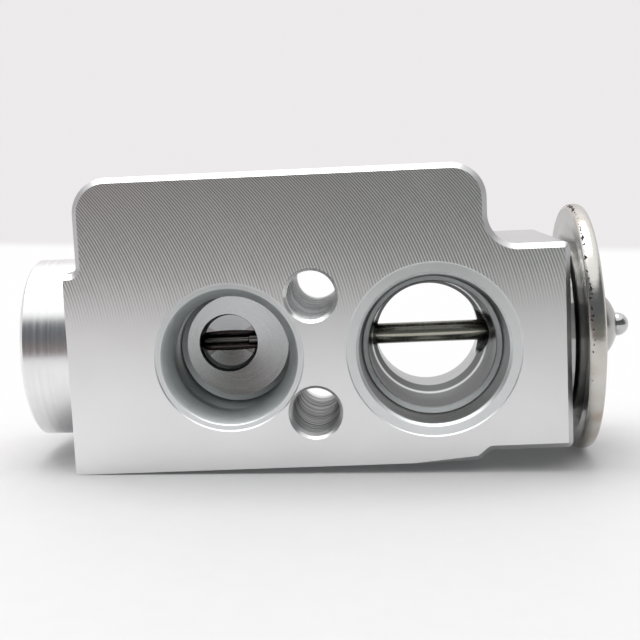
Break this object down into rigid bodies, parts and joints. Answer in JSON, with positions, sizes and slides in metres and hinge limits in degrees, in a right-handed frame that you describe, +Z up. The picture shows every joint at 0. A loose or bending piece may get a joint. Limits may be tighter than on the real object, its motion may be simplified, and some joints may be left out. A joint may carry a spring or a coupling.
{
  "type": "expansion valve",
  "caption": "Block-type thermostatic expansion valve: milled aluminium block with through suction passage, liquid ports, tapped holes, adjusting-screw boss and round power head.",
  "frame": {"origin": "centre of the bounding box's base: the lowest point of the power head's rim is at z = 0", "axes": "+X along the valve axis, from the adjusting-screw boss to the power head; -Y out of the evaporator-side port face; +Z up, from the keel to the ridge"},
  "size_m": [0.0776, 0.032, 0.038],
  "materials": {
    "machined_aluminium": "milled, bright edges",
    "stamped_stainless": "pressed, satin",
    "weld_stainless": "welded, lightly sooted",
    "rod_steel": "dark ground",
    "bright_steel": "polished",
    "spring_steel": "drawn wire",
    "turned_brass": "turned",
    "black_rubber": "moulded, matt"
  },
  "bodies": {
    "valve": {"valve_body": "machined_aluminium", "threaded_neck": "stamped_stainless", "head_gasket": "black_rubber", "lower_cover": "stamped_stainless", "diaphragm": "bright_steel", "upper_cover": "stamped_stainless", "rim_weld": "weld_stainless", "charge_ball": "bright_steel", "rod_seal": "black_rubber", "seal_retainer": "bright_steel", "valve_spring": "spring_steel"},
    "stem": {"ball_carrier": "bright_steel", "damping_washer": "spring_steel", "valve_ball": "bright_steel", "push_pin": "rod_steel", "sensing_rod": "rod_steel", "diaphragm_pad": "bright_steel"},
    "screw_seal": {"screw_o_ring": "black_rubber"},
    "adjusting_screw": {"adjusting_screw": "turned_brass"}
  },
  "joints": [
    {"name": "stem_lift", "type": "slide", "parent": "valve", "child": "stem", "axis": [-1, 0, 0], "range_m": [0, 0.0008], "stiffness_N_per_m": 2000, "springref_m": -0.001, "deforming": ["valve_spring", "diaphragm"]},
    {"name": "screw_travel", "type": "slide", "parent": "valve", "child": "screw_seal", "axis": [1, 0, 0], "range_m": [-0.000375, 0.000375], "deforming": ["valve_spring"]},
    {"name": "screw_turn", "type": "hinge", "parent": "screw_seal", "child": "adjusting_screw", "pos_m": [-0.0382, 0, 0.016], "axis": [1, 0, 0], "range_deg": [-180, 180]}
  ],
  "couplings": [
    {"joint": "screw_turn", "follows": "screw_travel", "rad_per_m": 8377.6}
  ]
}
